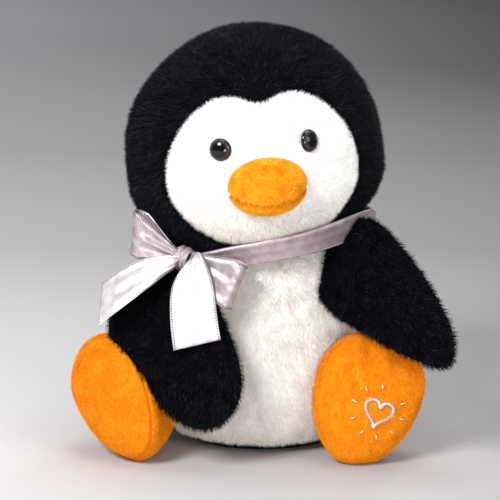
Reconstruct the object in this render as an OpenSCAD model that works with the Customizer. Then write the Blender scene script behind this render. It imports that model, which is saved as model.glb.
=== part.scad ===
// Seated plush penguin with a satin neck ribbon.
// Front faces -Y, up is +Z, millimetres. The origin is the centre of the flat base.
// Left and right are the penguin's own: its left side is +X.

/* [Body] */
// Largest radius of the body
body_r = 62; // [58:1:64]
// Height of the neck crease above the base
neck_h = 104; // [100:1:108]
// Thickness of the plush fabric with its pile
skin = 3; // [2:0.5:4]
// Half of the white belly panel's width
belly_half_w = 57; // [52:1:58]

/* [Head] */
// Largest radius of the head
head_r = 67; // [62:1:70]
// Height of the crown above the widest ring of the head
crown_h = 65; // [60:1:70]
// Sideways lean of the head, degrees towards the penguin's right
head_lean = 5; // [0:1:6]
// Turn of the face, degrees towards the penguin's left
head_turn = 5; // [0:1:8]
// Radius of each plastic eye
eye_r = 6; // [5:0.5:7]
// Width of the beak
beak_w = 41; // [36:1:44]
// Height of the beak
beak_h = 31; // [28:1:33]

/* [Flippers] */
// Thickness of a stuffed flipper
flipper_t = 17; // [14:1:19]
// Length from the shoulder axis to the centre of the tip's curve
flipper_len = 64; // [60:1:66]

/* [Feet] */
// Width of a sole
sole_w = 55; // [50:1:57]
// Length of a sole
sole_len = 68; // [62:1:70]
// Thickness of the padded sole
sole_t = 24; // [20:1:26]

/* [Ribbon] */
// Width of the satin ribbon
ribbon_w = 25; // [20:1:26]
// Thickness of the ribbon
ribbon_t = 0.8; // [0.6:0.1:1]

/* [Hidden] */

gap = 0.3;            // clearance between pieces that move on each other
black = "#14161b";
white = "#f4f1ea";
orange = "#f58a12";
satin = "#d9cdd3";
fill_white = "#fbfbf7";

// Body: two superellipse arcs, one each side of the widest ring
body_mid = 45;        // height of the widest ring
body_low_b = 52;      // the lower arc would close this far below the widest ring
body_low_n = 3.2;
body_top_b = 88;      // the upper arc would close this far above it
body_top_n = 2.4;
base_t = 5;           // height of the black base panel's rim
panel_mid = 48;       // height where the belly panel is widest
face_step = 8;        // degrees between points of the face panel's outline

// Head: half a ball above the widest ring, full cheeks below it
head_mid = 46;        // height of the widest ring above the neck crease
cheek_b = 56;
cheek_n = 3.4;

// Eyes and beak, in the head's own frame
eye_turn = 20;        // degrees each side of the middle of the face
eye_up = head_mid + 11;
eye_tip = 10;         // the eyes look up by this much
shank_r = 2;
shank_len = 13;
washer_r = 6.5;
beak_up = head_mid - 9;
beak_out = 21;        // how far the beak's tip stands out of the face
mouth_drop = 5;       // the mouth's seam is this far below the beak's middle
mouth_tip = 4;

// Bean pouch
pouch_r = 36;
pouch_h = 10;
pouch_wall = 1;
pellet_r = 3.2;

// Flippers: [x, z, radius] of the rounded outline, hanging down from the shoulder
flipper_left_outline = [[-9, -12, 8], [12, -10, 9], [-1, -33, 23], [0, -flipper_len, 12]];
flipper_right_outline = [[-8, 4, 7], [8, 0, 7], [-17, -9, 9], [13, -24, 11], [15, 14 - flipper_len, 12.8]];
flipper_left_at = [46, -47, 102];
flipper_right_at = [-44, -54, 82];
flipper_left_turn = [-34, -46, 0];
flipper_right_turn = [-20, -16, -14];

// Feet: the ankle, where the sole points and how the toes splay
ankle_r = 10;
ankle_z = 22;
ankle_left_angle = 46;
ankle_right_angle = -56;
foot_left_yaw = 5;
foot_right_yaw = -45;
foot_left_reach = 14;
foot_right_reach = 23;
foot_tilt = 12;
toe_splay = 20;
motif_out = 1;        // the stitched motif stands this far out of the sole
motif_low = 0.1;

// Ribbon bow
bow_angle = -37;      // round the neck from the front, degrees
knot_at = [-39.5, -53, 102.5];
knot_w = 9;
knot_r = 2.6;
loop_left_at = [5.5, -8.8, 1.5];
loop_left_turn = [0, 20, -26];
loop_left_len = 29;
loop_left_depth = 8;
loop_right_at = [-3, 0, 0];
loop_right_turn = [0, -24, 152];
loop_right_len = 30;
loop_right_depth = 10;
tail_left_at = [6, -13, 1];
tail_left_turn = [-20, 0, 0];
tail_left_len = 40;
tail_right_at = [-5, -8, -2.5];
tail_right_turn = [5, 63, 0];
tail_right_len = 40;
band_at = [2.5, 0, 107];
band_lean = 10;       // the ribbon rides up on the left shoulder, degrees
band_fold_w = 11;     // the ribbon is folded to this width round the neck
band_top_r = 62;
band_low_r = 60.6;

// Care label and small clearances
label_size = [18, 14, 0.8];
label_z = 24;
label_tilt = 14;
touch = 0.1;
limb_skin = 2.4;
beak_skin = 2;
$fn = 32;

function super_point(a, b, n, t) = [a * pow(cos(t), 2 / n), b * pow(sin(t), 2 / n)];
function super_angle(b, n, h) = asin(pow(h / b, n / 2));
function body_radius(z) = z < body_mid
    ? body_r * pow(1 - pow((body_mid - z) / body_low_b, body_low_n), 1 / body_low_n)
    : body_r * pow(1 - pow((z - body_mid) / body_top_b, body_top_n), 1 / body_top_n);

// Half section of the body, drawn in by inset
function body_section(inset, top) =
    let (a = body_r - inset,
         low = body_low_b - inset, high = body_top_b - inset,
         t0 = super_angle(low, body_low_n, body_mid - inset),
         t1 = super_angle(high, body_top_n, top - body_mid),
         lower = [for (i = [8:-1:0]) let (p = super_point(a, low, body_low_n, t0 * i / 8))
             [p[0], body_mid - p[1]]],
         upper = [for (i = [1:8]) let (p = super_point(a, high, body_top_n, t1 * i / 8))
             [p[0], body_mid + p[1]]])
    concat([[0, inset]], lower, upper, [[0, top]]);

// Half section of the head above the neck crease, drawn in by inset
function head_section(inset) =
    let (a = head_r - inset, t0 = super_angle(cheek_b - inset, cheek_n, head_mid),
         cheek = [for (i = [8:-1:1]) let (p = super_point(a, cheek_b - inset, cheek_n, t0 * i / 8))
             [p[0], head_mid - p[1]]],
         crown = [for (t = [0:9:81]) [a * cos(t), head_mid + (crown_h - inset) * sin(t)]])
    concat([[0, 0]], cheek, crown, [[0, head_mid + crown_h - inset]]);

// Rounded heart outline of the face, as polar distance from its middle
function face_reach(t) = 45.7 + 3.4 * cos(t) - 3.4 * cos(2 * t) + 1.6 * cos(3 * t)
    - 13 * exp(-pow(t / 19, 2));

module above_neck() { translate([0, 0, neck_h]) rotate([0, -head_lean, 0]) children(); }
module head_frame() { above_neck() translate([0, 0, gap / 2]) rotate([0, 0, head_turn]) children(); }

module below_neck_plane() {
    above_neck() translate([0, 0, -gap / 2 - 200]) cylinder(r = 150, h = 200);
}

module body_solid(inset) {
    intersection() {
        rotate_extrude() polygon(body_section(inset, neck_h + 12));
        below_neck_plane();
    }
}

// Front panel's outline: widest at mid height, drawn in below and a little above
function panel_x(z) = belly_half_w * cos((z - panel_mid) * (z < panel_mid ? 0.9 : 0.6));
module belly_window() {
    heights = [for (z = [0:10:120]) z];
    rotate([90, 0, 0]) linear_extrude(100) polygon(concat(
        [for (z = heights) [-panel_x(z), z]],
        [for (i = [len(heights) - 1:-1:0]) [panel_x(heights[i]), heights[i]]]));
}

module base_slab() { translate([0, 0, -1]) cylinder(r = 90, h = base_t + 1); }
module body_shell() {
    difference() {
        body_solid(0);
        body_solid(skin);
    }
}

module belly_panel() {
    color(white) intersection() {
        difference() {
            body_shell();
            base_slab();
        }
        belly_window();
    }
}

module back_panel() {
    color(black) difference() {
        body_shell();
        base_slab();
        belly_window();
    }
}

module base_panel() {
    color(black) intersection() {
        body_shell();
        base_slab();
    }
}

module pouch_room(grow) {
    translate([0, 0, skin + 2 - grow]) cylinder(r = pouch_r + grow, h = pouch_h + 2 * grow);
}

module body_stuffing() {
    color(fill_white) difference() {
        body_solid(skin + 0.05);
        pouch_room(0);
    }
}

module bean_pouch() {
    color("#e8e4da") difference() {
        pouch_room(0);
        pouch_room(-pouch_wall);
    }
}

// One hexagonal layer of beads
module bean_pellets() {
    pitch = 2 * pellet_r + 0.6;
    color("#c9c6bd")
    for (i = [-5:5], j = [-5:5]) {
        x = (i + j / 2) * pitch;
        y = j * pitch * sin(60);
        if (norm([x, y]) < pouch_r - pouch_wall - pellet_r)
            translate([x, y, skin + 2 + pouch_h / 2]) sphere(pellet_r);
    }
}

module care_label() {
    color("#f2f0ee") difference() {
        translate([-label_size[0] / 2, body_radius(label_z) - 1, label_z]) rotate([-label_tilt, 0, 0])
            cube(label_size);
        body_solid(-touch);
    }
}

module head_solid(inset) { rotate_extrude() polygon(head_section(inset)); }

module face_window() {
    rotate([90, 0, 0]) linear_extrude(100) translate([0, head_mid - 4])
        polygon([for (t = [-180:face_step:179]) face_reach(t) * [sin(t), cos(t)]]);
}

module eye_frame(side) {
    rotate([0, 0, side * eye_turn]) translate([0, -head_r * cos(eye_tip), eye_up])
        rotate([90 - eye_tip, 0, 0]) children();
}

module eye_shanks(r) {
    for (side = [-1, 1]) eye_frame(side) translate([0, 0, -shank_len]) cylinder(r = r, h = shank_len + 4);
}

module head_shell() {
    difference() {
        head_solid(0);
        head_solid(skin);
    }
}

module hood() {
    color(black) head_frame() difference() {
        head_shell();
        face_window();
    }
}

module face_panel() {
    color(white) head_frame() difference() {
        intersection() {
            head_shell();
            face_window();
        }
        eye_shanks(shank_r + 0.1);
        for (side = [-1, 1]) eye_frame(side) cylinder(r = eye_r + 0.1, h = 8);
    }
}

module washer(side) {
    eye_frame(side) translate([0, 0, -skin - 2.4]) difference() {
        cylinder(r = washer_r, h = 1.6);
        translate([0, 0, -1]) cylinder(r = shank_r, h = 4);
    }
}

module head_stuffing() {
    color(fill_white) head_frame() difference() {
        head_solid(skin);
        eye_shanks(shank_r + 0.1);
        for (side = [-1, 1]) eye_frame(side) translate([0, 0, -skin - 2.5])
            cylinder(r = washer_r + 0.1, h = 6);
    }
}

// A plastic eye: domed front, flat back on the face and a shank through it
module eye(side) {
    color("#17181c") head_frame() eye_frame(side) union() {
        intersection() {
            translate([0, 0, -eye_r * 0.55]) sphere(eye_r * 1.14);
            cylinder(r = eye_r, h = eye_r);
        }
        translate([0, 0, -shank_len]) cylinder(r = shank_r, h = shank_len + 1);
    }
}

module eye_washer(side) { color("#e6e6e2") head_frame() washer(side); }

module beak_solid(inset) {
    translate([0, -head_r + 6, beak_up]) hull() {
        scale([beak_w / 2 - inset, 9 - inset, beak_h / 2 - inset]) sphere(1);
        translate([0, -beak_out + 2, -2]) scale([1.35, 1, 1]) sphere(8.5 - inset);
    }
}

module beak_split(upper) {
    translate([0, -head_r, beak_up - mouth_drop]) rotate([mouth_tip, 0, 0])
        translate([-50, -60, upper ? 0 : -100]) cube([100, 120, 100]);
}

module beak_part(inset, tool) {
    difference() {
        intersection() {
            beak_solid(inset);
            beak_split(tool);
        }
        head_solid(-gap / 3);
    }
}

module beak_upper() {
    color(orange) head_frame() difference() {
        beak_part(0, true);
        beak_solid(beak_skin);
    }
}

module beak_lower() {
    color(orange) head_frame() difference() {
        beak_part(0, false);
        beak_solid(beak_skin);
    }
}

module beak_stuffing() {
    color(fill_white) head_frame() difference() {
        beak_solid(beak_skin);
        head_solid(-gap / 3);
    }
}

module flipper_solid(outline, inset) {
    hull() for (p = outline) translate([p[0], 0, p[1]])
        scale([p[2] - inset, flipper_t / 2 * (0.7 + p[2] / 80) - inset, p[2] - inset]) sphere(1);
}

module flipper_half(outline, front) {
    intersection() {
        difference() {
            flipper_solid(outline, 0);
            flipper_solid(outline, limb_skin);
        }
        translate([-60, front ? -40 : 0, -150]) cube([120, 40, 200]);
    }
}

// A foot: padded sole, instep and ankle. Local -Y is where the sole points.
function foot_z() = norm([sole_w / 2 * sin(toe_splay) * cos(foot_tilt),
    sole_len / 2 * cos(toe_splay) * cos(foot_tilt), sole_t / 2 * sin(foot_tilt)]);

module foot_solid(side, reach, inset) {
    translate([0, -reach, foot_z() - ankle_z]) rotate([-foot_tilt, side * toe_splay, 0])
        scale([sole_w / 2 - inset, sole_t / 2 - inset, sole_len / 2 - inset]) sphere(1, $fn = 48);
    hull() {
        translate([0, -reach, 0]) sphere(ankle_r + 3 - inset);
        sphere(ankle_r - inset);
    }
}

// Everything in front of the seam round the sole
module sole_side(side, reach, front) {
    translate([0, -reach, foot_z() - ankle_z]) rotate([-foot_tilt, side * toe_splay, 0])
        translate([-60, front ? -50 : 0, -60]) cube([120, front ? 50 : 80, 120]);
}

module foot_frame(angle, yaw) {
    reach = body_radius(ankle_z) + ankle_r + gap;
    translate([reach * sin(angle), -reach * cos(angle), ankle_z]) rotate([0, 0, yaw]) children();
}

module foot_panel(side, reach, front) {
    intersection() {
        difference() {
            foot_solid(side, reach, 0);
            foot_solid(side, reach, limb_skin);
        }
        sole_side(side, reach, front);
    }
}

module motif_outline() {
    difference() {
        heart(8);
        heart(6.2);
    }
    heart(3);
}

module heart(r) {
    rotate([0, 0, 45]) {
        square(r, center = true);
        translate([r / 2, 0]) circle(r / 2);
        translate([0, r / 2]) circle(r / 2);
    }
}

// Stitched heart on the sole of the left foot, raised a little out of the plush
module foot_motif() {
    translate([0, -foot_left_reach, foot_z() - ankle_z]) rotate([-foot_tilt, toe_splay, 0])
        intersection() {
            difference() {
                scale([sole_w / 2 + motif_out, sole_t / 2 + motif_out, sole_len / 2 + motif_out]) sphere(1);
                scale([sole_w / 2 + motif_low, sole_t / 2 + motif_low, sole_len / 2 + motif_low]) sphere(1);
            }
            translate([0, 0, -6]) rotate([90, 0, 0]) linear_extrude(40) motif_outline();
        }
}

// Ribbon round the neck, folded narrow under the chin
module ribbon_band() {
    color(satin) translate(band_at) rotate([0, -band_lean, 0]) rotate_extrude() polygon([
        [band_low_r, -band_fold_w / 2], [band_top_r, band_fold_w / 2],
        [band_top_r + ribbon_t, band_fold_w / 2], [band_low_r + ribbon_t, -band_fold_w / 2]]);
}

// The knot leans in to the ribbon round the neck
module knot_solid(grow) {
    translate(knot_at) rotate([0, -head_lean, bow_angle]) hull() {
        translate([0, 0, 3]) rotate([0, 90, 0])
            cylinder(r = knot_r + grow, h = knot_w + 2 * grow, center = true);
        translate([0, 2, -4.5]) rotate([0, 90, 0])
            cylinder(r = knot_r + grow, h = knot_w + 2 * grow, center = true);
    }
}

module ribbon_knot() { color(satin) knot_solid(0); }

// Closed loop of ribbon: a teardrop ring seen along the ribbon's width
module loop_outline(len, depth) {
    hull() {
        circle(r = 1.2);
        translate([len - depth / 2, 0]) circle(r = depth / 2);
    }
}

module loop_ring(len, depth) {
    difference() {
        loop_outline(len, depth);
        offset(delta = -ribbon_t) loop_outline(len, depth);
    }
}

module ribbon_loop(start, turn, len, depth) {
    translate(knot_at + start) rotate(turn)
        translate([0, 0, -ribbon_w / 2]) linear_extrude(ribbon_w) loop_ring(len, depth);
}

// A tail hangs from the knot: its turn leans it out and takes it sideways
module ribbon_tail(start, turn, len, grow) {
    translate(knot_at + start) rotate(turn) translate([-ribbon_w / 2 - grow, -ribbon_t - grow, -len - grow])
        cube([ribbon_w + 2 * grow, ribbon_t + 2 * grow, len + 2 * grow]);
}

module tail_left(grow) { ribbon_tail(tail_left_at, tail_left_turn, tail_left_len, grow); }
module tail_right(grow) { ribbon_tail(tail_right_at, tail_right_turn, tail_right_len, grow); }

module ribbon_loop_left() {
    color(satin) difference() {
        ribbon_loop(loop_left_at, loop_left_turn, loop_left_len, loop_left_depth);
        knot_solid(touch);
        tail_left(touch);
    }
}

module ribbon_loop_right() {
    color(satin) difference() {
        ribbon_loop(loop_right_at, loop_right_turn, loop_right_len, loop_right_depth);
        knot_solid(touch);
        tail_right(touch);
    }
}

module ribbon_tail_left() {
    color(satin) difference() {
        tail_left(0);
        knot_solid(touch);
    }
}

module ribbon_tail_right() {
    color(satin) difference() {
        tail_right(0);
        knot_solid(touch);
    }
}

module flipper_part(side, part) {
    outline = side > 0 ? flipper_left_outline : flipper_right_outline;
    translate(side > 0 ? flipper_left_at : flipper_right_at)
        rotate(side > 0 ? flipper_left_turn : flipper_right_turn) {
            if (part == "stuffing") color(fill_white) flipper_solid(outline, limb_skin);
            else color(black) flipper_half(outline, part == "outer");
        }
}

module foot_part(side, part) {
    reach = side > 0 ? foot_left_reach : foot_right_reach;
    foot_frame(side > 0 ? ankle_left_angle : ankle_right_angle, side > 0 ? foot_left_yaw : foot_right_yaw) {
        if (part == "stuffing") color(fill_white) foot_solid(side, reach, limb_skin + 0.05);
        else if (part == "motif") color(satin) foot_motif();
        else color(orange) foot_panel(side, reach, part == "sole");
    }
}

hood();
face_panel();
head_stuffing();
beak_upper();
beak_lower();
beak_stuffing();
eye(1);  // eye_left
eye(-1);  // eye_right
eye_washer(1);  // eye_washer_left
eye_washer(-1);  // eye_washer_right
back_panel();
belly_panel();
base_panel();
body_stuffing();
bean_pouch();
bean_pellets();
care_label();
ribbon_band();
ribbon_knot();
ribbon_loop_left();
ribbon_loop_right();
ribbon_tail_left();
ribbon_tail_right();
flipper_part(1, "outer");  // flipper_left_outer
flipper_part(1, "inner");  // flipper_left_inner
flipper_part(1, "stuffing");  // flipper_left_stuffing
flipper_part(-1, "outer");  // flipper_right_outer
flipper_part(-1, "inner");  // flipper_right_inner
flipper_part(-1, "stuffing");  // flipper_right_stuffing
foot_part(1, "sole");  // foot_left_sole
foot_part(1, "top");  // foot_left_top
foot_part(1, "stuffing");  // foot_left_stuffing
foot_part(1, "motif");  // foot_left_motif
foot_part(-1, "sole");  // foot_right_sole
foot_part(-1, "top");  // foot_right_top
foot_part(-1, "stuffing");  // foot_right_stuffing
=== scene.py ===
"""Looks of the seated plush penguin: pile fabric, satin bow, plastic eyes and stitching.

Lengths are in millimetres in the penguin's own frame until mesh_object() turns them into
metres. The front faces -Y, up is +Z and the penguin's own left side is +X.
"""

import math
from collections import namedtuple

import bpy
import numpy as np
from mathutils import Matrix, Vector
from mathutils.bvhtree import BVHTree


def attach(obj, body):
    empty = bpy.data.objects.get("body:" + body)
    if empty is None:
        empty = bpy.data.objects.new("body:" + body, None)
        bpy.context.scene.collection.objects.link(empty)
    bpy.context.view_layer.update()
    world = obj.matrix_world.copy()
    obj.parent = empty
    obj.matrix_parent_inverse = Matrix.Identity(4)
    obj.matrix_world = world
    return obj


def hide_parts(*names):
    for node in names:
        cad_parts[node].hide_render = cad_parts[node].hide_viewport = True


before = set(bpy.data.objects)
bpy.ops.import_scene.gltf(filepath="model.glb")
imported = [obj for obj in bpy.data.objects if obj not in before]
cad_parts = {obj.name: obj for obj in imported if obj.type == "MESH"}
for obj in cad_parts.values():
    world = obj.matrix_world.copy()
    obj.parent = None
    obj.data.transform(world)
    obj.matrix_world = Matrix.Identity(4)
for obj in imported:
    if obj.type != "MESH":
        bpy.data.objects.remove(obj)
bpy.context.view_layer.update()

MM = 0.001
UP = np.array([0.0, 0.0, 1.0])
DOWN = -UP

# Driving dimensions, the same as the CAD model's
HEAD_R, CROWN_H, HEAD_MID = 67.0, 65.0, 46.0
CHEEK_B, CHEEK_N = 56.0, 3.4
NECK_H, HEAD_LEAN, HEAD_TURN = 104.0, 5.0, 5.0
EYE_R, EYE_TURN = 6.0, 20.0
BEAK_W, BEAK_H, BEAK_OUT, BEAK_UP = 41.0, 29.5, 21.0, -9.6
BODY_R, BODY_MID = 62.0, 45.0
BODY_LOW, BODY_TOP = (52.0, 3.2), (88.0, 2.4)
BELLY_HALF_W, BASE_T, BASE_R = 57.0, 5.0, 44.5
FLIPPER_T = 17.0
SOLE_W, SOLE_LEN, SOLE_T = 55.0, 68.0, 24.0
ANKLE_Z, ANKLE_R = 22.0, 10.0
RIBBON_W, RIBBON_T, LABEL_W = 25.0, 0.5, 18.0

# How far the cloth behind the pile lies inside the CAD surface, and a limb's stuffing inside that
HOOD_INSET, WHITE_INSET, VELOUR_INSET, FILL_DEPTH = 2.3, 1.7, 0.9, 1.8


# ---------------------------------------------------------------- small tools

def turn(axis, degrees):
    """3x3 rotation about X, Y or Z."""
    return np.array(Matrix.Rotation(math.radians(degrees), 3, axis))


def place(points, rotation, at):
    """Points turned by a 3x3 rotation, then moved."""
    return np.asarray(points, float) @ np.asarray(rotation).T + np.asarray(at, float)


def unit(v):
    """Vectors scaled to length 1."""
    v = np.asarray(v, float)
    return v / np.maximum(np.linalg.norm(v, axis=-1, keepdims=True), 1e-9)


def waves(points, length, seed):
    """Smooth noise from -1 to 1 whose bumps are about length apart."""
    rng = np.random.default_rng(seed)
    total = np.zeros(len(points))
    for _ in range(6):
        direction = unit(rng.normal(size=3))
        pitch = length * rng.uniform(0.75, 1.6)
        total += np.sin(points @ direction * (2 * math.pi / pitch) + rng.uniform(0, 6.28))
    return total / 3.0


def near(points, spot, width):
    """1 at a spot, fading to 0 over about width on each side."""
    return np.exp(-(np.linalg.norm(points - spot, axis=1) / width) ** 2)


def smooth_loop(corners, count):
    """A closed Catmull-Rom curve of count points through given 2-D corners."""
    corners = np.asarray(corners, float)
    n = len(corners)
    spot = np.linspace(0, n, count, endpoint=False)
    i = spot.astype(int)
    t = (spot - i)[:, None]
    a, b, c, d = (corners[(i + k) % n] for k in (-1, 0, 1, 2))
    return 0.5 * (2 * b + (c - a) * t + (2 * a - 5 * b + 4 * c - d) * t ** 2
                  + (3 * b - a - 3 * c + d) * t ** 3)


def grid_faces(rows, columns, wrap, start=0):
    """Quads over rows x columns points; wrap joins the last column to the first."""
    faces = []
    for r in range(rows - 1):
        for c in range(columns if wrap else columns - 1):
            d = (c + 1) % columns
            faces.append((start + r * columns + c, start + r * columns + d,
                          start + (r + 1) * columns + d, start + (r + 1) * columns + c))
    return faces


def mesh_object(name, points, faces, smooth=True):
    """A new mesh object from points in millimetres."""
    mesh = bpy.data.meshes.new(name)
    mesh.from_pydata((np.asarray(points, float) * MM).tolist(), [], faces)
    mesh.validate()
    mesh.polygons.foreach_set("use_smooth", [smooth] * len(mesh.polygons))
    return link(bpy.data.objects.new(name, mesh))


def link(obj):
    """Puts a new object in the scene."""
    bpy.context.scene.collection.objects.link(obj)
    return obj


def configure(thing, **values):
    """Sets several of a thing's properties at once."""
    for key, value in values.items():
        setattr(thing, key, value)
    return thing


def points_of(obj):
    """The mesh's points in millimetres."""
    flat = np.empty(len(obj.data.vertices) * 3)
    obj.data.vertices.foreach_get("co", flat)
    return flat.reshape(-1, 3) / MM


def dress(obj, body, material, nodes=()):
    """Gives a piece its material, its body and the CAD nodes that it stands for."""
    for m in material if isinstance(material, (list, tuple)) else [material]:
        obj.data.materials.append(m)
    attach(obj, body)
    if nodes:
        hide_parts(*nodes)
    return obj


def reshape(obj, function):
    """Moves each of a mesh's points, in millimetres, by a function of all of them."""
    obj.data.vertices.foreach_set("co", (function(points_of(obj)) * MM).ravel())
    obj.data.update()


def thicken(obj, thickness, offset=-1):
    """Turns an open skin into a closed shell, grown inwards or, with offset 0, both ways."""
    configure(obj.modifiers.new("cloth thickness", "SOLIDIFY"), thickness=thickness * MM, offset=offset)
    return obj


# ---------------------------------------------------------------- materials

def feed(tree, node, **values):
    """Sets a node's properties and inputs, and links an input where the value is a socket."""
    for key, value in values.items():
        socket = key.replace("_", " ")
        if socket not in node.inputs:
            setattr(node, key, value)
        elif isinstance(value, bpy.types.NodeSocket):
            tree.links.new(value, node.inputs[socket])
        else:
            node.inputs[socket].default_value = value
    return node


def add(tree, kind, **values):
    """Adds a node and feeds it."""
    return feed(tree, tree.nodes.new(kind), **values)


def shader(name, **values):
    """A Principled material, its node tree and its Principled node."""
    material = bpy.data.materials.new(name)
    material.use_nodes = True
    tree = material.node_tree
    return material, tree, feed(tree, tree.nodes["Principled BSDF"], **values)


def ramp(tree, source, stops):
    """A colour ramp over a grey source socket, from (position, colour) stops."""
    node = add(tree, "ShaderNodeValToRGB", Fac=source)
    elements = node.color_ramp.elements
    while len(elements) < len(stops):
        elements.new(0.5)
    for element, (position, colour) in zip(elements, stops):
        configure(element, position=position, color=(*colour, 1))
    return node.outputs["Color"]


def greys(steps, green, blue):
    """Ramp stops from (position, grey) steps, with green and blue as shares of the grey."""
    return [(position, (grey, grey * green, grey * blue)) for position, grey in steps]


def cloth(name, low, high, tuft, rough=0.85, bump=0.5, **values):
    """Backing cloth of a pile fabric: blotches of two tones and a fine fibrous bump.
    tuft is the size of the blotches in millimetres."""
    material, tree, bsdf = shader(name, Roughness=rough, **values)
    at = add(tree, "ShaderNodeTexCoord").outputs["Object"]
    blotches = add(tree, "ShaderNodeTexNoise", Vector=at, Scale=1000.0 / tuft, Detail=4.0)
    fibres = add(tree, "ShaderNodeTexNoise", Vector=at, Scale=1600.0, Detail=3.0)
    relief = add(tree, "ShaderNodeBump", Strength=bump, Distance=0.0006, Height=fibres.outputs["Fac"])
    feed(tree, bsdf, Base_Color=ramp(tree, blotches.outputs["Fac"], [(0.35, low), (0.65, high)]),
         Normal=relief.outputs["Normal"])
    return material


def tints(name, colours, rough, **values):
    """One plain material for each tint of a pile's fibres."""
    return [shader(f"{name}_{i}", Base_Color=(*c, 1), Roughness=rough, **values)[0]
            for i, c in enumerate(colours)]


def satin_material(name, low, high):
    """Woven satin: fine ribs across the ribbon, a soft sheen and slight shade changes."""
    material, tree, bsdf = shader(name, Metallic=0.45, Roughness=0.3)
    at = add(tree, "ShaderNodeUVMap", uv_map="along").outputs["UV"]
    ribs = add(tree, "ShaderNodeTexWave", Vector=at, Scale=0.9, Distortion=0.4, bands_direction="X")
    shade = add(tree, "ShaderNodeTexNoise", Vector=at, Scale=0.22, Detail=2.0)
    relief = add(tree, "ShaderNodeBump", Strength=0.25, Distance=0.0001, Height=ribs.outputs["Fac"])
    feed(tree, bsdf, Base_Color=ramp(tree, shade.outputs["Fac"], [(0.3, low), (0.7, high)]),
         Normal=relief.outputs["Normal"])
    return material


def eye_material():
    """Black pupil with a dark smoky ring, under a glossy dome. The mesh's own
    'dish' coordinate runs from 0 at the middle of the pupil to 1 at the rim."""
    material, tree, bsdf = shader("eye_plastic", Roughness=0.06, Specular_IOR_Level=0.4)
    at = add(tree, "ShaderNodeUVMap", uv_map="dish").outputs["UV"]
    from_middle = add(tree, "ShaderNodeSeparateXYZ", Vector=at).outputs["X"]
    steps = [(0.0, 0.0015), (0.62, 0.002), (0.70, 0.022), (0.84, 0.04), (0.93, 0.006), (1.0, 0.002)]
    feed(tree, bsdf, Base_Color=ramp(tree, from_middle, greys(steps, 0.97, 0.95)))
    return material


BLACK_CLOTH = cloth("black_plush_cloth", (0.0015, 0.0016, 0.0022), (0.004, 0.0044, 0.006), 5,
                    Specular_IOR_Level=0.05)
WHITE_CLOTH = cloth("white_plush_cloth", (0.90, 0.88, 0.85), (0.96, 0.95, 0.93), 6)
BELLY_CLOTH = cloth("belly_plush_cloth", (0.84, 0.80, 0.75), (0.95, 0.93, 0.89), 7)
ORANGE_CLOTH = cloth("orange_velour_cloth", (0.74, 0.19, 0.002), (0.88, 0.30, 0.005), 5,
                     Specular_IOR_Level=0.12)
FILL_CLOTH = cloth("fibre_fill", (0.82, 0.82, 0.80), (0.95, 0.95, 0.93), 3)
BLACK_PILE = tints("black_pile", [(0.0016, 0.0018, 0.0026), (0.0032, 0.0036, 0.005),
                                  (0.007, 0.008, 0.012), (0.026, 0.030, 0.041)], 0.55,
                   Specular_IOR_Level=0.07)
# The first white tint is creamy and darker, a warmer tint with painted shade, for the lower face.
WHITE_PILE = tints("white_pile", [(0.76, 0.695, 0.61), (0.96, 0.955, 0.94), (0.98, 0.98, 0.97)],
                   0.7, Specular_IOR_Level=0.3)
BELLY_PILE = tints("belly_pile", [(0.80, 0.75, 0.69), (0.87, 0.83, 0.78), (0.93, 0.91, 0.88)],
                   0.7, Specular_IOR_Level=0.3)
ORANGE_PILE = tints("orange_pile", [(0.74, 0.19, 0.002), (0.84, 0.26, 0.003), (0.90, 0.32, 0.005),
                                    (1.0, 0.50, 0.02)], 0.6, Specular_IOR_Level=0.12)
# The first beak tint is dark brown painted shade. It is used only in the mouth's seam.
BEAK_PILE = tints("beak_pile", [(0.30, 0.06, 0.002), (0.88, 0.29, 0.004), (0.95, 0.40, 0.008),
                                (1.0, 0.56, 0.03)], 0.6, Specular_IOR_Level=0.12)
# The ribbon is one satin, made in three copies with painted light. This lighter copy, for the tails,
# holds painted highlight.
TAIL_SATIN_LIT = satin_material("pale_satin", (0.62, 0.565, 0.58), (0.88, 0.86, 0.865))
# A darker copy of the same satin, with painted shade, for the loops.
LOOP_SATIN_SHADED = satin_material("lilac_satin", (0.34, 0.28, 0.30), (0.56, 0.50, 0.52))
# A darker copy of the same satin, with painted shadow from the chin, for the band and the knot.
BAND_SATIN_SHADOWED = satin_material("mauve_satin", (0.38, 0.295, 0.32), (0.52, 0.43, 0.455))
THREAD = shader("silver_thread", Base_Color=(0.86, 0.84, 0.87, 1), Metallic=0.6, Roughness=0.3)[0]
HEM_THREAD = shader("dark_silver_thread", Base_Color=(0.06, 0.055, 0.065, 1), Metallic=0.7,
                    Roughness=0.25)[0]
EYE = eye_material()
LABEL = cloth("label_cloth", (0.84, 0.83, 0.80), (0.92, 0.91, 0.89), 0.8, rough=0.6, bump=0.15)


# ---------------------------------------------------------------- pile

# How the tints of each pile are mixed
BLACK_MIX = [0.46, 0.32, 0.16, 0.06]
FACE_MIX = [0.06, 0.44, 0.5]
ORANGE_MIX = [0.15, 0.40, 0.35, 0.10]
BEAK_MIX = [0.0, 0.18, 0.42, 0.40]

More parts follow.
